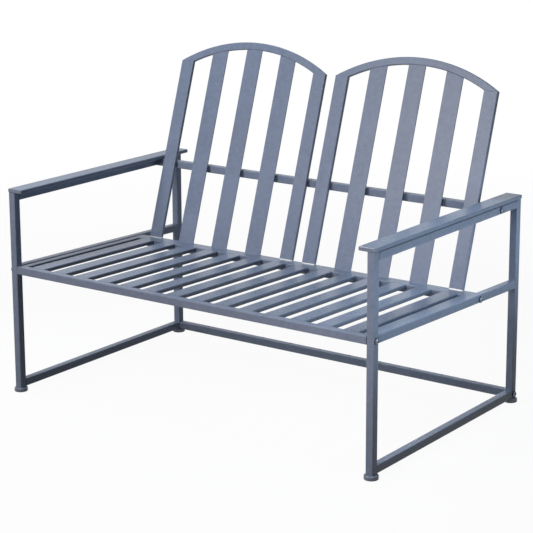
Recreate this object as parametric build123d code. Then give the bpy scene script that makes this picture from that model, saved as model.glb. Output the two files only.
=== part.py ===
from build123d import *
from math import cos, radians, sin, sqrt, tan
import os

# Patio loveseat of steel tube: two end frames, a slatted seat frame and two arched back panels.
# X runs across the seat, the seat faces -Y, Z is up, and the feet stand on z = 0.
# All sizes are millimetres and all angles are degrees.

# Square tube of the frames
tube_side = 20.0
tube_wall = 1.0
tube_corner = 2.5

# End frames
frame_width = 1100.0  # over the outer faces of the legs
frame_depth = 677.4  # over the front and rear faces of the legs
leg_top = 528.5
seat_rail_front_top = 337.8  # top of the sloping side rail where it meets the front leg
seat_slope = 1.54  # fall of the seat towards the rear

# Armrests
armrest_width = 45.0
armrest_height = 10.0
armrest_wall = 0.8
armrest_corner = 2.5
armrest_lip = 1.6  # how far it stands out beyond the legs
armrest_overhang = 1.0  # how far it runs on behind the rear legs
armrest_gap = 1.0  # between it and the arm rail below it
cap_thickness = 3.0
cap_edge = 2.0  # rounding of the outer edge of its end caps
cap_plug_length = 12.0

# Feet
foot_diameter = 35.0
foot_height = 11.3
foot_shoulder = 4.0
foot_sole_edge = 1.5
foot_plug_length = 18.0

# Seat frame
seat_step = 2.0  # how far the seat lies below the tops of the side rails
seat_slat_count = 14
seat_slat_width = 40.0
seat_slat_thickness = 10.0
seat_slat_wall = 0.8
seat_slat_corner = 2.0
seat_side_gap = 13.6  # between the outermost slats and the seat's side rails
rear_rail_width = 40.0

# Back panels
back_tilt = 18.165
panel_inset = 188.6  # from the rear faces of the legs forward to the front of the panels' feet
panel_length = 565.1  # from the seat to the crown of the arch, along the panel
panel_side_gap = 35.0  # between a panel and the legs beside it
panel_gap = 31.0
panel_rear_margin = 1.0  # what the seat's rear rail shows behind the panels
upright_width = 40.0
upright_thickness = 10.5
upright_wall = 0.8
upright_corner = 2.5
panel_slat_count = 3
panel_slat_width = 50.0
panel_slat_thickness = 3.0
panel_slat_corner = 0.6
arch_band = 20.0
arch_outer_radius = 464.0
foot_plate_thickness = 3.0

# Rear stretcher
stretcher_hole_count = 10
stretcher_hole_diameter = 6.0
stretcher_hole_inset = 6.5  # from the rear face of the tube to the middle of the hole

# Bolts that hold the end frames, their washers and the threaded plugs that take them
bolt_diameter = 8.0
bolt_length = 35.0
bolt_head_diameter = 14.0
bolt_head_height = 4.5
bolt_socket_size = 5.0
bolt_socket_depth = 2.4
washer_diameter = 17.0
washer_thickness = 1.5
plug_length = 18.0

# Screws that hold the back panels
screw_diameter = 4.8
screw_head_diameter = 8.4
screw_head_height = 2.6
screw_socket_size = 3.0
screw_socket_depth = 1.4
screw_tip = 1.0  # how far the lower screws end above the foot plates
crossbar_screw_tip = 3.0  # how far the upper screws end inside the uprights

# Clearances
joint_gap = 0.3  # between pieces that are bolted up to one another
plug_gap = 0.2  # round a plug in its tube
thread_gap = 0.25  # round a bolt in its thread
hole_gap = 0.3  # round a bolt in a plain hole
overrun = 5.0  # how far a cutter runs past what it cuts

# Shares of a side that limit how round its corners get, of a wall for the least inner corner, and of
# a bolt's head that is domed; and the number of sides of a socket
corner_limit_share = 0.45
least_corner_share = 0.2
dome_share = 0.82
socket_sides = 6

# Places that follow from the sizes above
half_width = frame_width / 2
half_depth = frame_depth / 2
inner_face = half_width - tube_side
leg_x = half_width - tube_side / 2
front_leg_y = tube_side / 2 - half_depth
rear_leg_y = half_depth - tube_side / 2
rail_start = tube_side - half_depth
rail_length = frame_depth - 2 * tube_side
bar_half = inner_face - joint_gap
seat_slat_reach = bar_half - tube_side - seat_side_gap - seat_slat_width / 2
panel_width = inner_face - panel_gap / 2 - panel_side_gap
low_rail_z = foot_height + tube_side / 2
arm_rail_top = leg_top - armrest_gap
arm_rail_z = arm_rail_top - tube_side / 2
slope = radians(seat_slope)
tilt = radians(back_tilt)
lean = tilt - slope
panel_setback = (frame_depth - panel_inset) / cos(slope)
rail_blank = frame_depth / cos(slope)

# Sections as width, depth, wall and outer corner
square_tube = (tube_side, tube_side, tube_wall, tube_corner)
rear_rail_tube = (rear_rail_width, tube_side, tube_wall, tube_corner)
seat_slat_tube = (seat_slat_width, seat_slat_thickness, seat_slat_wall, seat_slat_corner)
armrest_tube = (armrest_width, armrest_height, armrest_wall, armrest_corner)
upright_tube = (upright_width, upright_thickness, upright_wall, upright_corner)
arch_tube = (arch_band, upright_thickness, upright_wall, upright_corner)

# The seat's own frame: its top is local z = 0, and local y runs down the slope from the front edge.
# The side rails of the end frames lie along it too, one step higher.
seat_front_top = seat_rail_front_top + tube_side * tan(slope) - seat_step
seat_up = (0, sin(slope), cos(slope))
seat_frame = Plane(origin=(0, -half_depth, seat_front_top), x_dir=(1, 0, 0), z_dir=seat_up)
panel_foot = upright_thickness / cos(lean)
rear_rail_back = panel_setback + panel_foot + panel_rear_margin
rear_rail_front = rear_rail_back - rear_rail_width
rear_rail_centre = rear_rail_back - rear_rail_width / 2
seat_bay = rear_rail_front - tube_side

# The back panels' own frame: local y runs up the panel, local z points out of its front face
panel_origin = seat_frame.from_local_coords(Vector(0, panel_setback, 0))
panel_x = panel_gap / 2 + panel_width / 2
foot_plane = Plane(origin=(0, 0, 0), x_dir=(1, 0, 0), z_dir=(0, cos(lean), sin(lean)))
arch_centre = panel_length - arch_outer_radius
arch_inner_radius = arch_outer_radius - arch_band
upright_x = panel_width / 2 - upright_width / 2

# The upper crossbar touches the leaning uprights with its rounded front top corner
corner_reach = upright_thickness + joint_gap + tube_corner
corner_rise = arm_rail_top - tube_corner - panel_origin.Z
crossbar_front = panel_origin.Y + (corner_reach + corner_rise * sin(tilt)) / cos(tilt) - tube_corner
crossbar_y = crossbar_front + tube_side / 2
crossbar_back = crossbar_front + tube_side
upright_back = panel_origin.Y + (upright_thickness + (arm_rail_z - panel_origin.Z) * sin(tilt)) / cos(tilt)


def section(width, depth, corner):
    """Rectangle with rounded corners, no rounder than its sides allow."""
    return RectangleRounded(width, depth, min(corner, min(width, depth) * corner_limit_share))


def bore(profile, gap):
    """Section of the space inside a tube, drawn in by a gap on every side."""
    width, depth, wall, corner = profile
    inner_corner = max(corner - wall, wall * least_corner_share)
    return section(width - 2 * (wall + gap), depth - 2 * (wall + gap), inner_corner)


def ring(profile):
    """Section of a hollow rectangular tube."""
    width, depth, wall, corner = profile
    return section(width, depth, corner) - bore(profile, 0)


def along_x(start):
    """Plane whose normal is +X, for sections with their width along Y."""
    return Plane(origin=start, x_dir=(0, 1, 0), z_dir=(1, 0, 0))


def along_y(start):
    """Plane whose normal is +Y, for sections with their width along X."""
    return Plane(origin=start, x_dir=(1, 0, 0), z_dir=(0, 1, 0))


def outward(side, y, z):
    """Plane on the outer face of an end frame, its normal pointing away from the bench."""
    return Plane(origin=(side * half_width, y, z), x_dir=(0, 1, 0), z_dir=(side, 0, 0))


def drill(plane, diameter, depth):
    """Cutter that starts just outside a face and runs in to a depth."""
    tool = Cylinder(diameter / 2, depth + overrun, align=(Align.CENTER, Align.CENTER, Align.MAX))
    return plane.location * (Pos(0, 0, overrun) * tool)


def domed_bolt(diameter, length, head_diameter, head_height, socket_size, socket_depth):
    """Button-head bolt: the head stands on z = 0 and the shank runs down from it."""
    dome_height = head_height * dome_share
    dome_radius = (head_diameter ** 2 / 4 + dome_height ** 2) / (2 * dome_height)
    head = Cylinder(head_diameter / 2, head_height, align=(Align.CENTER, Align.CENTER, Align.MIN))
    head = head & (Pos(0, 0, head_height - dome_radius) * Sphere(dome_radius))
    hexagon = RegularPolygon(socket_size / 2, socket_sides, major_radius=False)
    socket = extrude(Pos(0, 0, head_height - socket_depth) * hexagon, socket_depth + overrun)
    shank = Cylinder(diameter / 2, length, align=(Align.CENTER, Align.CENTER, Align.MAX))
    return head + shank - socket


def leg(side, y):
    """Square leg that stands on its foot and reaches up to the armrest."""
    return extrude(Plane(origin=(side * leg_x, y, foot_height)) * ring(square_tube), leg_top - foot_height)


def level_rail(side, z):
    """Level rail of an end frame, between the two legs."""
    return extrude(along_y((side * leg_x, rail_start, z)) * ring(square_tube), rail_length)


def sloping_rail(side):
    """Side rail at seat height, which falls to the rear and is cut upright at both legs."""
    blank = extrude(along_y((side * leg_x, 0, seat_step - tube_side / 2)) * ring(square_tube), rail_blank)
    bar = seat_frame.location * blank
    bar = split(bar, bisect_by=along_y((0, rail_start, 0)), keep=Keep.TOP)
    return split(bar, bisect_by=along_y((0, rail_start + rail_length, 0)), keep=Keep.BOTTOM)


def armrest_middle(side):
    """Middle of an armrest's width, which stands out by its lip beyond the leg."""
    return side * (half_width + armrest_lip - armrest_width / 2)


def armrest(side):
    """Flat hollow armrest on top of the legs, between its two end caps."""
    start = (armrest_middle(side), cap_thickness - half_depth, leg_top + armrest_height / 2)
    return extrude(along_y(start) * ring(armrest_tube), frame_depth + armrest_overhang - 2 * cap_thickness)


def armrest_cap(side, end):
    """Moulded end cap of an armrest, with a plug that fills the tube's mouth."""
    tip = -half_depth if end < 0 else half_depth + armrest_overhang
    face = Plane(
        origin=(armrest_middle(side), tip, leg_top + armrest_height / 2),
        x_dir=(1, 0, 0),
        z_dir=(0, -end, 0),
    )
    plate = extrude(face * section(armrest_width, armrest_height, armrest_corner), cap_thickness)
    outer_face = plate.faces().sort_by(Axis.Y)[0 if end < 0 else -1]
    plate = fillet(outer_face.edges(), cap_edge)
    plug = extrude(face.offset(cap_thickness) * bore(armrest_tube, plug_gap), cap_plug_length)
    return plate + plug


def foot(side, y):
    """Round moulded glide under a leg, with a square plug up into the tube."""
    disc = Cylinder(foot_diameter / 2, foot_height, align=(Align.CENTER, Align.CENTER, Align.MIN))
    disc = fillet(disc.edges().sort_by(Axis.Z)[-1], foot_shoulder)
    disc = fillet(disc.edges().sort_by(Axis.Z)[0], foot_sole_edge)
    plug = extrude(Pos(0, 0, foot_height) * bore(square_tube, plug_gap), foot_plug_length)
    return Pos(side * leg_x, y, 0) * (disc + plug)


def seat_rail(profile, y):
    """Rail across the seat frame, its middle at a place along the slope."""
    start = (-bar_half, y, -tube_side / 2)
    return seat_frame.location * extrude(along_x(start) * ring(profile), 2 * bar_half)


def seat_bar(profile, x):
    """Bar of the seat frame from the front rail to the rear rail, its top level with theirs."""
    start = (x, tube_side, -profile[1] / 2)
    return seat_frame.location * extrude(along_y(start) * ring(profile), seat_bay)


def cross_tube(y, z):
    """Level square tube between the two end frames."""
    return extrude(along_x((-bar_half, y, z)) * ring(square_tube), 2 * bar_half)


def rail_plug(profile, side, y, z):
    """Threaded block that fills the end of a cross tube."""
    face = Plane(origin=(side * bar_half, y, z), x_dir=(0, 1, 0), z_dir=(side, 0, 0))
    block = extrude(face * bore(profile, plug_gap), -plug_length)
    return block - drill(face, bolt_diameter + 2 * thread_gap, plug_length + overrun)


def mitre(end):
    """Plane through both corners where an arch meets an upright, its normal pointing up the panel."""
    outer_x = panel_width / 2
    inner_x = outer_x - upright_width
    outer_y = arch_centre + sqrt(arch_outer_radius ** 2 - outer_x ** 2)
    inner_y = arch_centre + sqrt(arch_inner_radius ** 2 - inner_x ** 2)
    return Plane(
        origin=(end * outer_x, outer_y, 0),
        x_dir=(0, 0, 1),
        z_dir=(end * (inner_y - outer_y), upright_width, 0),
    )


def upright_blank(end, sketch):
    """Stock for an upright of a panel or its foot plate, cut at the arch but not yet at the seat."""
    start = (end * upright_x, -upright_thickness, -upright_thickness / 2)
    bar = extrude(along_y(start) * sketch, panel_length)
    return split(bar, bisect_by=mitre(end), keep=Keep.BOTTOM)


def upright(end):
    """Flat tube at the edge of a panel, from its foot plate up to the arch."""
    bar = upright_blank(end, ring(upright_tube))
    return split(bar, bisect_by=foot_plane.offset(foot_plate_thickness), keep=Keep.TOP)


def foot_plate(end):
    """Plate that closes the foot of an upright and takes a screw from below."""
    block = upright_blank(end, section(upright_width, upright_thickness, upright_corner))
    block = split(block, bisect_by=foot_plane, keep=Keep.TOP)
    return split(block, bisect_by=foot_plane.offset(foot_plate_thickness), keep=Keep.BOTTOM)


def arch():
    """Curved flat tube over a panel, mitred to the tops of its uprights."""
    start = Plane(
        origin=(arch_outer_radius - arch_band / 2, 0, -upright_thickness / 2),
        x_dir=(1, 0, 0),
        z_dir=(0, -1, 0),
    )
    band = Pos(0, arch_centre, 0) * revolve(start * ring(arch_tube), axis=Axis.Z, revolution_arc=180)
    halves = []
    for end in (-1, 1):
        middle = Plane(origin=(0, 0, 0), x_dir=(0, 1, 0), z_dir=(end, 0, 0))
        half = split(band, bisect_by=middle, keep=Keep.TOP)
        halves.append(split(half, bisect_by=mitre(end), keep=Keep.TOP))
    return halves[0] + halves[1]


def panel_slat(index):
    """Flat bar of a panel from the seat's rear rail up to the underside of the arch."""
    free_width = panel_width - 2 * upright_width - panel_slat_count * panel_slat_width
    step = panel_slat_width + free_width / (panel_slat_count + 1)
    x = (index - (panel_slat_count - 1) / 2) * step
    strip = Pos(x, panel_length / 2) * Rectangle(panel_slat_width, panel_length + 2 * panel_slat_thickness)
    under_arch = Pos(0, arch_centre) * Circle(arch_inner_radius - joint_gap)
    bar = extrude(strip & under_arch, -panel_slat_thickness)
    bar = split(bar, bisect_by=foot_plane, keep=Keep.TOP)
    long_edges = bar.edges().filter_by(Axis.Y)
    return fillet(long_edges, min(panel_slat_corner, panel_slat_thickness * corner_limit_share))


def foot_screw_plane(x):
    """Where a screw's head bears on the underside of the seat's rear rail, below an upright."""
    y = panel_setback + panel_foot / 2 + foot_plate_thickness / 2 * tan(lean)
    return Plane(origin=(x, y, -tube_side), x_dir=(1, 0, 0), z_dir=(0, 0, -1))


def crossbar_screw_plane(x):
    """Where a screw's head bears on the rear face of the upper crossbar, behind an upright."""
    return Plane(origin=(x, crossbar_back, arm_rail_z), x_dir=(1, 0, 0), z_dir=(0, 1, 0))


sides = {"left": -1, "right": 1}
ends = {"front": -1, "rear": 1}
parts = {}

# Where the four bolts of a side go in: front rail, seat's rear rail, upper crossbar, rear stretcher
front_rail_middle = seat_frame.from_local_coords(Vector(0, tube_side / 2, -tube_side / 2))
rear_rail_middle = seat_frame.from_local_coords(Vector(0, rear_rail_centre, -tube_side / 2))
bolt_hole = bolt_diameter + 2 * hole_gap
screw_hole = screw_diameter + 2 * hole_gap


def bolted(shape, side, y, z):
    """Piece of an end frame, or the foot plug inside it, with a bolt hole right through it."""
    return shape - drill(outward(side, y, z), bolt_hole, tube_side + overrun)


# End frames
for side_name, side in sides.items():
    front_leg = leg(side, front_leg_y)
    parts[side_name + "_front_leg"] = bolted(front_leg, side, front_rail_middle.Y, front_rail_middle.Z)
    parts[side_name + "_rear_leg"] = bolted(leg(side, rear_leg_y), side, rear_leg_y, low_rail_z)
    parts[side_name + "_bottom_rail"] = level_rail(side, low_rail_z)
    side_rail = sloping_rail(side)
    parts[side_name + "_side_rail"] = bolted(side_rail, side, rear_rail_middle.Y, rear_rail_middle.Z)
    parts[side_name + "_arm_rail"] = bolted(level_rail(side, arm_rail_z), side, crossbar_y, arm_rail_z)
    parts[side_name + "_armrest"] = armrest(side)
    for end_name, end in ends.items():
        parts[side_name + "_armrest_" + end_name + "_cap"] = armrest_cap(side, end)
    parts[side_name + "_front_foot"] = foot(side, front_leg_y)
    parts[side_name + "_rear_foot"] = bolted(foot(side, rear_leg_y), side, rear_leg_y, low_rail_z)

# Seat frame
upright_places = [side * panel_x + end * upright_x for side in sides.values() for end in ends.values()]
seat_rear_rail = seat_rail(rear_rail_tube, rear_rail_centre)
for x in upright_places:
    seat_rear_rail -= seat_frame.location * drill(foot_screw_plane(x), screw_hole, tube_side + overrun)
parts["seat_front_rail"] = seat_rail(square_tube, tube_side / 2)
parts["seat_rear_rail"] = seat_rear_rail
for side_name, side in sides.items():
    parts["seat_" + side_name + "_rail"] = seat_bar(square_tube, side * (bar_half - tube_side / 2))
for index in range(seat_slat_count):
    x = (2 * index / (seat_slat_count - 1) - 1) * seat_slat_reach
    parts[f"seat_slat_{index + 1:02d}"] = seat_bar(seat_slat_tube, x)

# Back panels
upper_screw_reach = crossbar_back - upright_back
upright_middle = upright_thickness / 2 / cos(tilt)
foot_plates = []
for side_name, side in sides.items():
    panel = Plane(
        origin=(side * panel_x, panel_origin.Y, panel_origin.Z),
        x_dir=(1, 0, 0),
        z_dir=(0, -cos(tilt), sin(tilt)),
    )
    for end_name, end in {"outer": side, "inner": -side}.items():
        x = side * panel_x + end * upright_x
        hole = drill(crossbar_screw_plane(x), screw_hole, upper_screw_reach + upright_middle)
        parts[side_name + "_panel_" + end_name + "_upright"] = panel.location * upright(end) - hole
        thread = drill(foot_screw_plane(x), screw_diameter + 2 * thread_gap, 2 * tube_side)
        foot_plates.append(panel.location * foot_plate(end) - seat_frame.location * thread)
    parts[side_name + "_panel_arch"] = panel.location * arch()
    for index in range(panel_slat_count):
        parts[f"{side_name}_panel_slat_{index + 1}"] = panel.location * panel_slat(index)
parts["panel_foot_plates"] = Compound(foot_plates)

# Cross tubes between the end frames
back_crossbar = cross_tube(crossbar_y, arm_rail_z)
for x in upright_places:
    back_crossbar -= drill(crossbar_screw_plane(x), screw_hole, tube_side + overrun)
parts["back_crossbar"] = back_crossbar
rear_stretcher = cross_tube(rear_leg_y, low_rail_z)
hole_pitch = 2 * inner_face / (stretcher_hole_count + 1)
for index in range(stretcher_hole_count):
    x = (index - (stretcher_hole_count - 1) / 2) * hole_pitch
    top = Plane(origin=(x, half_depth - stretcher_hole_inset, foot_height + tube_side))
    rear_stretcher -= drill(top, stretcher_hole_diameter, tube_side / 2)
parts["rear_stretcher"] = rear_stretcher

# Threaded plugs in the ends of the cross tubes
square_plugs = []
wide_plugs = []
for side in sides.values():
    square_plugs.append(rail_plug(square_tube, side, crossbar_y, arm_rail_z))
    square_plugs.append(rail_plug(square_tube, side, rear_leg_y, low_rail_z))
    square_plugs.append(seat_frame.location * rail_plug(square_tube, side, tube_side / 2, -tube_side / 2))
    wide_plugs.append(seat_frame.location * rail_plug(rear_rail_tube, side, rear_rail_centre, -tube_side / 2))
parts["cross_tube_plugs"] = Compound(square_plugs)
parts["rear_rail_plugs"] = Compound(wide_plugs)

# Bolts, washers and screws
bolt = domed_bolt(
    bolt_diameter, bolt_length, bolt_head_diameter, bolt_head_height, bolt_socket_size, bolt_socket_depth
)
bolt_places = [
    (front_rail_middle.Y, front_rail_middle.Z),
    (rear_rail_middle.Y, rear_rail_middle.Z),
    (crossbar_y, arm_rail_z),
    (rear_leg_y, low_rail_z),
]
washer = Cylinder(washer_diameter / 2, washer_thickness, align=(Align.CENTER, Align.CENTER, Align.MIN))
washer -= Cylinder(bolt_hole / 2, 2 * washer_thickness + overrun)
bolt_faces = [outward(side, y, z) for side in sides.values() for y, z in bolt_places]
parts["frame_washers"] = Compound([face.location * washer for face in bolt_faces])
parts["frame_bolts"] = Compound([face.offset(washer_thickness).location * bolt for face in bolt_faces])
screw_head = (screw_head_diameter, screw_head_height, screw_socket_size, screw_socket_depth)
lower_screw = domed_bolt(screw_diameter, tube_side + foot_plate_thickness + screw_tip, *screw_head)
parts["panel_foot_screws"] = Compound(
    [seat_frame.location * (foot_screw_plane(x).location * lower_screw) for x in upright_places]
)
upper_screw_length = upper_screw_reach + upright_wall / cos(tilt) + crossbar_screw_tip
upper_screw = domed_bolt(screw_diameter, upper_screw_length, *screw_head)
parts["crossbar_screws"] = Compound([crossbar_screw_plane(x).location * upper_screw for x in upright_places])

os.makedirs("parts", exist_ok=True)
for name, shape in parts.items():
    export_step(shape, f"parts/{name}.step")
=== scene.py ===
from math import atan, cos, pi, radians, sin, sqrt

import bpy
import numpy as np
from mathutils import Matrix, Vector


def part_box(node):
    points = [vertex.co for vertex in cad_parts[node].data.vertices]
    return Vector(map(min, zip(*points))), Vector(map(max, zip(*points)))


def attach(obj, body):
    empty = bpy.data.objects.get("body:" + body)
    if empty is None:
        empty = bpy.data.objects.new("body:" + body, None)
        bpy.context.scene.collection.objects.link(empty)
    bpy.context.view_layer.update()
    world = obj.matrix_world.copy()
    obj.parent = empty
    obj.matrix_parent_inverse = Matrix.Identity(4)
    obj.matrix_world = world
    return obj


# Patio loveseat of powder-coated steel tube. Lengths are in metres and angles in radians, unless
# a comment says otherwise.
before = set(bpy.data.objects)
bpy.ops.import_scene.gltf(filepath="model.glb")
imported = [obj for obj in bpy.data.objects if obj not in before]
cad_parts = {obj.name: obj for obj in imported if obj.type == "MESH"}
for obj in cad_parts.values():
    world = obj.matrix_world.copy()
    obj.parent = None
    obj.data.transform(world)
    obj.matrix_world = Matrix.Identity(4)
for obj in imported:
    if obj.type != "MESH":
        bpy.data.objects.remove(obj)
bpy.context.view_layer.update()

# Camera, fitted to the bench's corners in the photo
PHOTO_SIDE = 533  # pixels, the picture is square
SENSOR_WIDTH = 36.0  # millimetres
CAMERA_FOCUS = 1766.7  # pixels of the picture
CAMERA_PLACE = (2.5521, -3.5042, 1.4748)
CAMERA_YAW = 0.627
CAMERA_PITCH = 0.225
CAMERA_ROLL = -0.004
CAMERA_SHIFT = -0.10  # share of the picture's side
CAMERA_REACH = 200.0

# Sizes of the bench that the weld beads follow
SLAT_COUNT = 14
TUBE_CORNER = 0.0025
SLAT_CORNER = 0.002
BACK_TILT = radians(18.165)
PANEL_LENGTH = 0.5651
PANEL_HALF_WIDTH = 0.23975
UPRIGHT_WIDTH = 0.040
UPRIGHT_THICKNESS = 0.0105
ARCH_RADIUS = 0.464
ARCH_BAND = 0.020
PANEL_SLAT_THICKNESS = 0.003
PANEL_SLATS = 3

# Weld beads. Ripple depths are shares of the bead's own size.
BEAD_RADIUS = 0.0018
SEAM_HALF_WIDTH = 0.0016
SEAM_RISE = 0.00022
RIPPLE_PITCH = 0.0017
RIPPLE_DEPTH = 0.16
SEAM_RIPPLE = 0.10
RIPPLE_BOW = 0.0008
RINGS_PER_RIPPLE = 4
BEAD_SPOKES = 10
NO_BULGE = (0.0, 0.0, 0.0)  # for a straight bead
# Faces of each rail that are welded to the legs: 1 is the top and -1 the underside
BEADED_FACES = {"bottom_rail": (1,), "side_rail": (1, -1), "arm_rail": (-1,)}

# Finishes. Tones are linear light, lumps are counted to the metre, height is in metres, and band
# is the part of the noise that is stretched over the reach.
WHOLE_REACH = (0.0, 1.0)
NOISE_BAND = (0.3, 0.7)

SLATE = (0.173, 0.210, 0.292)
SLATE_DEEP = (0.151, 0.186, 0.264)
SLATE_PALE = (0.197, 0.237, 0.321)
COAT_CLOUD = {"lumps": 9.0, "detail": 3.0, "band": (0.34, 0.66)}
COAT_MOTTLE = {"lumps": 85.0, "detail": 4.0, "roughness": 0.6}
COAT_GLOSS = {"lumps": 260.0, "detail": 3.0, "reach": (0.25, 0.35)}
COAT_PEEL = {"lumps": 520.0, "height": 0.00012, "strength": 0.35}
COAT_GRAIN = {"lumps": 1500.0, "height": 0.00003, "strength": 0.30}
COAT_SHINE = 0.16

FOOT_TONES = (0.128, 0.155, 0.216), (0.152, 0.182, 0.250)
CAP_TONES = (0.140, 0.170, 0.236), (0.160, 0.192, 0.261)
FOOT_CAP_SPLIT = (0.030, 0.060)  # heights between which the foot tones give way to the cap tones
PLASTIC_FLOW = {"lumps": 40.0, "detail": 3.0}
PLASTIC_GLOSS = {"lumps": 420.0, "reach": (0.17, 0.25)}
PLASTIC_GRAIN = {"lumps": 1900.0, "height": 0.00004, "strength": 0.35}
PLASTIC_SHINE = 0.5

# Washers painted near-black: painted shade for the dark ring round each bolt's dome
WASHER_SHADE_TONE = (0.020, 0.024, 0.034)
BOLT_TONES = (0.120, 0.145, 0.205), (0.260, 0.305, 0.400)
WASHER_BOLT_SPLIT = (0.5514, 0.5518)  # at the washers' outer faces, from the bench's middle
BOLT_RUB = {"lumps": 620.0, "detail": 4.0, "roughness": 0.65, "band": (0.45, 0.75)}
BOLT_GLOSS = {"lumps": 900.0, "reach": (0.16, 0.24)}
BOLT_MARKS = {"lumps": 2400.0, "height": 0.00002, "strength": 0.30}
BOLT_METAL = 0.35

SCREW_STEEL = {
    "tones": ((0.40, 0.42, 0.44), (0.56, 0.58, 0.59)),
    "spangle": {"lumps": 480.0, "detail": 3.0},
    "gloss": {"lumps": 700.0, "reach": (0.26, 0.40)},
    "marks": {"lumps": 2600.0, "height": 0.00002, "strength": 0.30},
}
PLUG_STEEL = {
    "tones": ((0.30, 0.31, 0.32), (0.44, 0.45, 0.46)),
    "spangle": {"lumps": 300.0, "detail": 4.0},
    "gloss": {"lumps": 700.0, "reach": (0.38, 0.55)},
    "marks": {"lumps": 1800.0, "height": 0.00003, "strength": 0.30},
}

# Lamps: place, aim, side lengths, beam in degrees, watts and tint
COOL, PLAIN, WARM = (0.80, 1.0, 1.15), (0.97, 1.0, 1.03), (1.07, 0.985, 0.965)
LAMPS = {
    "overhead_panel": ((-0.6, -0.3, 2.3), (-0.1, 0.0, 0.4), (0.7, 0.7), 180.0, 15.6, COOL),
    "front_panel": ((-0.68, -1.8, 1.6), (0.0, -0.2, 0.45), (1.0, 0.9), 180.0, 31.5, WARM),
    "corner_panel": ((0.80, -1.5, 0.55), (0.54, -0.34, 0.42), (0.4, 0.5), 70.0, 1.0, WARM),
    "right_panel": ((0.86, 0.10, 0.43), (0.55, 0.10, 0.43), (1.1, 0.16), 100.0, 0.86, COOL),
    "armrest_panel": ((0.72, -0.1, 1.35), (0.60, -0.1, 0.45), (0.9, 0.25), 50.0, 0.58, COOL),
    "left_panel": ((-1.3, -0.35, 0.20), (-0.55, -0.25, 0.30), (0.6, 0.2), 120.0, 1.8, PLAIN),
    "rear_panel": ((-0.60, 2.2, 0.60), (0.0, 0.3, 0.66), (1.0, 0.3), 60.0, 5.8, PLAIN),
}
SOFT_LAMPS = ("left_panel", "rear_panel")  # left out of reflections, so the tops have no glare

# Floor: its own tone, and the two distances between which its glow rises to full white
FLOOR_SIDE = 60.0
FLOOR_TONE = (0.04, 0.04, 0.04, 1.0)
FLOOR_NEAR, FLOOR_FAR = 1.2, 3.4
FLOOR_GLOW_NEAR, FLOOR_GLOW_FAR = 0.945, 1.0

# Sky: the light it sheds on the bench, and the white that is seen behind it
SKY_TONE, SKY_LIGHT = (0.96, 0.98, 1.0, 1.0), 0.02
BACKDROP_TONE, BACKDROP_LIGHT = (1.0, 1.0, 1.0, 1.0), 1.0


class Nodes:
    """Node tree of a material or a world, emptied, with short calls to add and join nodes."""

    def __init__(self, owner):
        owner.use_nodes = True
        self.owner = owner
        self.tree = owner.node_tree
        self.tree.nodes.clear()
        self.place = None

    def add(self, kind, inputs=None, **settings):
        """New node with these settings, each input joined to a socket or set to a value."""
        node = self.tree.nodes.new(kind)
        for key, value in settings.items():
            setattr(node, key, value)
        for key, value in (inputs or {}).items():
            self.fill(node.inputs[key], value)
        return node

    def fill(self, target, value):
        """Join a socket to another, or set its value."""
        if isinstance(value, bpy.types.NodeSocket):
            self.tree.links.new(value, target)
        else:
            target.default_value = value

    def coordinates(self):
        """Object coordinates, which are the bench's own metres."""
        if self.place is None:
            self.place = self.add("ShaderNodeTexCoord").outputs["Object"]
        return self.place

    def coordinate(self, axis):
        """One of the object coordinates."""
        return self.add("ShaderNodeSeparateXYZ", {"Vector": self.coordinates()}).outputs[axis]

    def noise(self, lumps, detail=2.0, roughness=0.5):
        """Noise from 0 to 1 with a number of lumps to the metre."""
        inputs = {
            "Vector": self.coordinates(),
            "Scale": lumps,
            "Detail": detail,
            "Roughness": roughness,
        }
        return self.add("ShaderNodeTexNoise", inputs).outputs["Fac"]

    def spread(self, value, band, reach=WHOLE_REACH):
        """Value held inside a band and stretched over the reach."""
        inputs = {
            "Value": value,
            "From Min": band[0],
            "From Max": band[1],
            "To Min": reach[0],
            "To Max": reach[1],
        }
        return self.add("ShaderNodeMapRange", inputs, clamp=True).outputs["Result"]

    def cloud(self, lumps, detail=2.0, roughness=0.5, band=NOISE_BAND, reach=WHOLE_REACH):
        """Cloud of values that fills the reach."""
        return self.spread(self.noise(lumps, detail, roughness), band, reach)

    def blend(self, share, first, second):
        """Colour between two colours."""
        node = self.add("ShaderNodeMix", data_type="RGBA")
        sockets = {s.identifier: s for s in node.inputs}
        self.fill(sockets["Factor_Float"], share)
        for key, colour in (("A_Color", first), ("B_Color", second)):
            self.fill(sockets[key], (*colour, 1.0) if isinstance(colour, tuple) else colour)
        return next(s for s in node.outputs if s.identifier == "Result_Color")

    def skin(self, lumps, height, strength, under=None):
        """Raised skin with a number of lumps to the metre, laid over the one under it."""
        inputs = {"Height": self.noise(lumps), "Distance": height, "Strength": strength}
        if under is not None:
            inputs["Normal"] = under
        return self.add("ShaderNodeBump", inputs).outputs["Normal"]

    def surface(self, **inputs):
        """Principled surface with these sockets, wired to the output. Returns the material."""
        named = {key.replace("_", " "): value for key, value in inputs.items()}
        shader = self.add("ShaderNodeBsdfPrincipled", named)
        self.add("ShaderNodeOutputMaterial", {"Surface": shader.outputs["BSDF"]})
        return self.owner


def powder_coat():
    """Slate powder coat: cloudy slate tones, an orange-peel skin and a fine grain."""
    n = Nodes(bpy.data.materials.new("powder_coat"))
    tone = n.blend(n.cloud(**COAT_CLOUD), SLATE_DEEP, SLATE)
    tone = n.blend(n.cloud(**COAT_MOTTLE), tone, SLATE_PALE)
    gloss = n.cloud(**COAT_GLOSS)
    skin = n.skin(**COAT_GRAIN, under=n.skin(**COAT_PEEL))
    return n.surface(Base_Color=tone, Roughness=gloss, Normal=skin, Specular_IOR_Level=COAT_SHINE)


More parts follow.
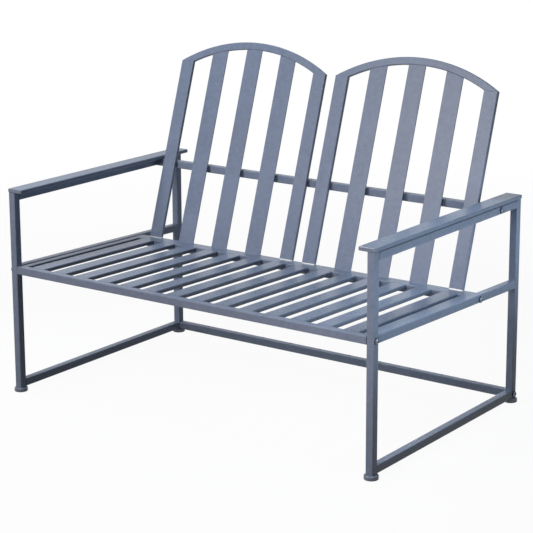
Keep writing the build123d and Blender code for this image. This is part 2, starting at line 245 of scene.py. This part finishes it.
def moulded_plastic():
    """Slate polypropylene with a faint flow cloud and a fine spark-eroded grain. The feet are
    darker than the armrest caps, and their height tells the two apart."""
    n = Nodes(bpy.data.materials.new("moulded_plastic"))
    toward_caps = n.spread(n.coordinate("Z"), FOOT_CAP_SPLIT)
    flow = n.cloud(**PLASTIC_FLOW)
    tone = n.blend(toward_caps, n.blend(flow, *FOOT_TONES), n.blend(flow, *CAP_TONES))
    gloss, skin = n.cloud(**PLASTIC_GLOSS), n.skin(**PLASTIC_GRAIN)
    return n.surface(
        Base_Color=tone, Roughness=gloss, Normal=skin, Specular_IOR_Level=PLASTIC_SHINE
    )


def bolt_steel():
    """Slate finish of the domed bolts, with fine turning marks and a few pale rubs. The washers
    under them are painted near-black as painted shade for the dark ring round each dome, and the
    distance from the bench's middle tells the two apart."""
    n = Nodes(bpy.data.materials.new("bolt_steel"))
    outward = n.add("ShaderNodeMath", {0: n.coordinate("X")}, operation="ABSOLUTE").outputs[0]
    dome = n.spread(outward, WASHER_BOLT_SPLIT)
    # The washers take the near-black painted shade tone, and the domes the rubbed slate
    tone = n.blend(dome, WASHER_SHADE_TONE, n.blend(n.cloud(**BOLT_RUB), *BOLT_TONES))
    gloss, skin = n.cloud(**BOLT_GLOSS), n.skin(**BOLT_MARKS)
    return n.surface(Base_Color=tone, Roughness=gloss, Normal=skin, Metallic=BOLT_METAL)


def plated_steel(name, tones, spangle, gloss, marks):
    """Bare plated steel, with a spangle of two greys and fine marks."""
    n = Nodes(bpy.data.materials.new(name))
    tone = n.blend(n.cloud(**spangle), *tones)
    gloss, skin = n.cloud(**gloss), n.skin(**marks)
    return n.surface(Base_Color=tone, Roughness=gloss, Normal=skin, Metallic=1.0)


finishes = {
    "powder_coat": powder_coat(),
    "moulded_plastic": moulded_plastic(),
    "bolt_steel": bolt_steel(),
    "screw_steel": plated_steel("screw_steel", **SCREW_STEEL),
    "plug_steel": plated_steel("plug_steel", **PLUG_STEEL),
}


def finish_of(node):
    """Slot that a node of the bench takes its finish from, by what the node is."""
    if node in ("frame_bolts", "frame_washers"):
        return "bolt_steel"
    if node.endswith("_screws"):
        return "screw_steel"
    if node.endswith("_plugs") or node == "panel_foot_plates":
        return "plug_steel"
    if node.endswith("_foot") or node.endswith("_cap"):
        return "moulded_plastic"
    return "powder_coat"


for name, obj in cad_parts.items():
    if not obj.material_slots:
        obj.data.materials.append(None)
    for entry in obj.material_slots:
        entry.material = finishes[finish_of(name)]


def bead_skin(starts, ends, bulges, lifts, half_width, rise, ripple):
    """Points of weld beads, as an array of beads, rings and spokes. Along each bead t runs from 0
    to 1, and its middle line is start + t (end - start) + 4 t (1 - t) bulge. Round it, the section
    is an ellipse with half axes half_width, across the lift, and rise, along it. Both are
    multiplied by the taper (1 - (2t - 1)^4)^(1/2), which closes the ends, and by
    1 + ripple cos(2 pi s / pitch), where s is the length along the bead plus a bow that grows
    towards the bead's edges, so that the ripples are crescents."""
    runs = ends - starts
    lengths = np.linalg.norm(runs, axis=1)
    along = runs / lengths[:, None]
    lifts = lifts - np.sum(lifts * along, axis=1)[:, None] * along
    lifts /= np.linalg.norm(lifts, axis=1)[:, None]
    across = np.cross(lifts, along)
    rings = int(round(lengths.max() / RIPPLE_PITCH)) * RINGS_PER_RIPPLE
    t = (np.arange(1, rings + 1) / (rings + 1))[None, :, None]
    turn = (2 * pi * np.arange(BEAD_SPOKES) / BEAD_SPOKES)[None, None, :]
    taper = np.sqrt(1 - (2 * t - 1) ** 4)
    bowed = lengths[:, None, None] * t + RIPPLE_BOW * np.cos(turn) ** 2
    swell = taper * (1 + ripple * np.cos(2 * pi * bowed / RIPPLE_PITCH))
    line = starts[:, None, :] + t * runs[:, None, :] + 4 * t * (1 - t) * bulges[:, None, :]
    side = (swell * half_width * np.cos(turn))[..., None] * across[:, None, None, :]
    up = (swell * rise * np.sin(turn))[..., None] * lifts[:, None, None, :]
    return line[:, :, None, :] + side + up


def bead_faces(beads, rings, first):
    """Faces of weld beads as lists of point numbers, counted from the first. Each bead has its
    rings of points one after the other, then the point at its start and the one at its end."""
    ring = np.arange(rings)[:, None] * BEAD_SPOKES
    spoke = np.arange(BEAD_SPOKES)
    after = (spoke + 1) % BEAD_SPOKES
    near, far = ring[:-1], ring[1:]
    walls = np.stack([near + spoke, near + after, far + after, far + spoke], axis=-1)
    start = rings * BEAD_SPOKES
    end = start + 1
    last_ring = start - BEAD_SPOKES
    caps = np.concatenate([
        np.stack([np.full_like(spoke, start), after, spoke], axis=-1),
        np.stack([np.full_like(spoke, end), last_ring + spoke, last_ring + after], axis=-1),
    ])
    shifts = first + np.arange(beads)[:, None, None] * (end + 1)
    walls = (walls.reshape(-1, 4) + shifts).reshape(-1, 4)
    caps = (caps + shifts).reshape(-1, 3)
    return walls.tolist() + caps.tolist()


def weld_piece(name, fillets, seams=()):
    """Piece that holds the fillet beads and the ground seams of a unit, in powder coat. Each bead
    is given by its start, end, bulge and lift."""
    points, faces = np.empty((0, 3)), []
    for rows, half_width, rise, ripple in (
        (fillets, BEAD_RADIUS, BEAD_RADIUS, RIPPLE_DEPTH),
        (seams, SEAM_HALF_WIDTH, SEAM_RISE, SEAM_RIPPLE),
    ):
        if not rows:
            continue
        starts, ends, bulges, lifts = (np.array(column, float) for column in zip(*rows))
        skin = bead_skin(starts, ends, bulges, lifts, half_width, rise, ripple)
        beads, rings = skin.shape[:2]
        faces += bead_faces(beads, rings, len(points))
        closed = [skin.reshape(beads, -1, 3), starts[:, None, :], ends[:, None, :]]
        points = np.concatenate([points, np.concatenate(closed, axis=1).reshape(-1, 3)])
    mesh = bpy.data.meshes.new(name)
    mesh.from_pydata(points.tolist(), [], faces)
    mesh.polygons.foreach_set("use_smooth", np.ones(len(mesh.polygons), bool))
    mesh.validate()
    mesh.update()
    mesh.materials.append(finishes["powder_coat"])
    piece = bpy.data.objects.new(name, mesh)
    bpy.context.scene.collection.objects.link(piece)
    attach(piece, "root")


def end_frame_beads():
    """Fillets in the inner corners of rails and legs."""
    fillets = []
    for side in ("left", "right"):
        for rail, beaded in BEADED_FACES.items():
            low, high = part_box(f"{side}_{rail}")
            left, right = low.x + TUBE_CORNER, high.x - TUBE_CORNER
            depth = high.x - low.x
            fall = high.z - low.z - depth
            for y, drop, away in ((low.y, 0.0, 1), (high.y, fall, -1)):
                for up in beaded:
                    z = high.z - drop if up > 0 else high.z - drop - depth
                    fillets.append(((left, y, z), (right, y, z), NO_BULGE, (0.0, away, up)))
    return fillets


def seat_slope():
    """Slope of the seat, from the fall of a side rail."""
    low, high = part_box("left_side_rail")
    return atan((high.z - low.z - (high.x - low.x)) / (high.y - low.y))


def seat_frame_beads():
    """Fillets under both ends of each bar of the seat, and ground seams across its top."""
    fillets, seams = [], []
    slope = seat_slope()
    fall, run = sin(slope), cos(slope)
    bars = {f"seat_slat_{i + 1:02d}": SLAT_CORNER for i in range(SLAT_COUNT)}
    bars.update({"seat_left_rail": TUBE_CORNER, "seat_right_rail": TUBE_CORNER})
    for name, corner in bars.items():
        low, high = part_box(name)
        # Thickness of the sloping bar, from the height and the depth of the box round it
        thick = ((high.z - low.z) * run - (high.y - low.y) * fall) / (run ** 2 - fall ** 2)
        left, right = low.x + corner, high.x - corner
        tops = ((low.y + thick * fall, high.z), (high.y, low.z + thick * run))
        for (y, z), away in zip(tops, (1, -1)):
            seams.append(((left, y, z), (right, y, z), NO_BULGE, (0.0, fall, run)))
            y, z = y - thick * fall, z - thick * run
            fillets.append(((left, y, z), (right, y, z), NO_BULGE, (0.0, away, -1.0)))
    return fillets, seams


def back_panel_beads():
    """Seams of the arch mitres front and back, and fillets behind the slats' tops and feet."""
    fillets, seams = [], []
    up = np.array((0.0, sin(BACK_TILT), cos(BACK_TILT)))
    out = np.array((0.0, -cos(BACK_TILT), sin(BACK_TILT)))
    sideways = np.array((1.0, 0.0, 0.0))
    arch_centre = PANEL_LENGTH - ARCH_RADIUS
    inner_radius = ARCH_RADIUS - ARCH_BAND
    inner_x = PANEL_HALF_WIDTH - UPRIGHT_WIDTH
    outer_y = arch_centre + sqrt(ARCH_RADIUS ** 2 - PANEL_HALF_WIDTH ** 2)
    inner_y = arch_centre + sqrt(inner_radius ** 2 - inner_x ** 2)

    def place(foot, x, y, z):
        """Point of a tilted panel, from the middle of its foot."""
        return foot + x * sideways + y * up + z * out

    for side in ("left", "right"):
        low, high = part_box(f"{side}_panel_arch")
        foot_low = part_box(f"{side}_panel_slat_2")[0]
        foot = np.array(((low.x + high.x) / 2, foot_low.y, foot_low.z))
        for end in (-1, 1):
            for z, facing in ((0.0, out), (-UPRIGHT_THICKNESS, -out)):
                outer = place(foot, end * (PANEL_HALF_WIDTH - TUBE_CORNER), outer_y, z)
                inner = place(foot, end * (inner_x + TUBE_CORNER), inner_y, z)
                seams.append((outer, inner, NO_BULGE, facing))
        heel = place(foot, 0.0, 0.0, -PANEL_SLAT_THICKNESS)
        for index in range(PANEL_SLATS):
            slat_low, slat_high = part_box(f"{side}_panel_slat_{index + 1}")
            x_ends = np.array((slat_low.x, slat_high.x)) - foot[0]
            top_xs = np.array((x_ends[0], x_ends.mean(), x_ends[1]))
            top_ys = arch_centre + np.sqrt(inner_radius ** 2 - top_xs ** 2)
            first, middle, last = (
                place(foot, x, y, -PANEL_SLAT_THICKNESS) for x, y in zip(top_xs, top_ys)
            )
            fillets.append((first, last, middle - (first + last) / 2, -out - up))
            left, right = (slat_low.x, heel[1], foot[2]), (slat_high.x, heel[1], foot[2])
            fillets.append((left, right, NO_BULGE, (0.0, 1.0, 1.0)))
    return fillets, seams


weld_piece("end_frame_welds", end_frame_beads())
weld_piece("seat_frame_welds", *seat_frame_beads())
weld_piece("back_panel_welds", *back_panel_beads())


def seen_directly(n):
    """1 for rays from the camera and for mirror and glass rays, 0 for the light that rays carry."""
    rays = n.add("ShaderNodeLightPath").outputs
    seen = rays["Is Camera Ray"]
    for kind in ("Is Glossy Ray", "Is Transmission Ray"):
        seen = n.add("ShaderNodeMath", {0: seen, 1: rays[kind]}, operation="MAXIMUM").outputs[0]
    return seen


def pale_floor():
    """Plain floor. Seen directly it is white with the bench's own soft shadow on it, and it
    throws back only what a dark grey floor would."""
    n = Nodes(bpy.data.materials.new("floor_paint"))
    away = n.add("ShaderNodeVectorMath", {0: n.coordinates()}, operation="LENGTH").outputs["Value"]
    glow = n.spread(away, (FLOOR_NEAR, FLOOR_FAR), (FLOOR_GLOW_NEAR, FLOOR_GLOW_FAR))
    paint = n.add("ShaderNodeBsdfDiffuse", {"Color": FLOOR_TONE}).outputs["BSDF"]
    light = n.add("ShaderNodeEmission", {"Strength": glow}).outputs["Emission"]
    lit = n.add("ShaderNodeAddShader", {0: paint, 1: light}).outputs["Shader"]
    both = n.add("ShaderNodeMixShader", {0: seen_directly(n), 1: paint, 2: lit}).outputs["Shader"]
    n.add("ShaderNodeOutputMaterial", {"Surface": both})
    return n.owner


half = FLOOR_SIDE / 2
floor_corners = [(-half, -half, 0), (half, -half, 0), (half, half, 0), (-half, half, 0)]
floor_mesh = bpy.data.meshes.new("floor")
floor_mesh.from_pydata(floor_corners, [], [(0, 1, 2, 3)])
floor_mesh.materials.append(pale_floor())
floor = bpy.data.objects.new("floor", floor_mesh)
bpy.context.scene.collection.objects.link(floor)

sky = Nodes(bpy.data.worlds.new("studio"))
backdrop = sky.add("ShaderNodeBackground", {"Color": BACKDROP_TONE, "Strength": BACKDROP_LIGHT})
ambient = sky.add("ShaderNodeBackground", {"Color": SKY_TONE, "Strength": SKY_LIGHT})
mixed = sky.add(
    "ShaderNodeMixShader",
    {0: seen_directly(sky), 1: ambient.outputs["Background"], 2: backdrop.outputs["Background"]},
)
sky.add("ShaderNodeOutputWorld", {"Surface": mixed.outputs["Shader"]})
bpy.context.scene.world = sky.owner

for name, (place, aim, sides, beam, watts, tint) in LAMPS.items():
    data = bpy.data.lights.new(name, "AREA")
    data.shape = "RECTANGLE"
    data.size, data.size_y = sides
    data.energy = watts
    data.color = tint
    data.spread = radians(beam)
    lamp = bpy.data.objects.new(name, data)
    lamp.location = place
    lamp.visible_camera = False
    lamp.visible_glossy = name not in SOFT_LAMPS
    lamp.rotation_euler = (Vector(aim) - Vector(place)).to_track_quat("-Z", "Y").to_euler()
    bpy.context.scene.collection.objects.link(lamp)


def camera_turn(yaw, pitch, roll):
    """Rotation of a camera that looks along +Y before it is turned left, down and round."""
    ahead = Vector((-sin(yaw) * cos(pitch), cos(yaw) * cos(pitch), -sin(pitch)))
    level = Vector((cos(yaw), sin(yaw), 0.0))
    upward = level.cross(ahead)
    right = cos(roll) * level + sin(roll) * upward
    top = cos(roll) * upward - sin(roll) * level
    return Matrix((right, top, -ahead)).transposed().to_euler()


camera_data = bpy.data.cameras.new("camera")
camera_data.sensor_width = SENSOR_WIDTH
camera_data.lens = CAMERA_FOCUS / PHOTO_SIDE * SENSOR_WIDTH
camera_data.shift_y = CAMERA_SHIFT
camera_data.clip_end = CAMERA_REACH
camera = bpy.data.objects.new("camera", camera_data)
camera.rotation_euler = camera_turn(CAMERA_YAW, CAMERA_PITCH, CAMERA_ROLL)
camera.location = CAMERA_PLACE
bpy.context.scene.collection.objects.link(camera)
bpy.context.scene.camera = camera
bpy.context.scene.view_settings.view_transform = "Standard"

bpy.context.view_layer.update()
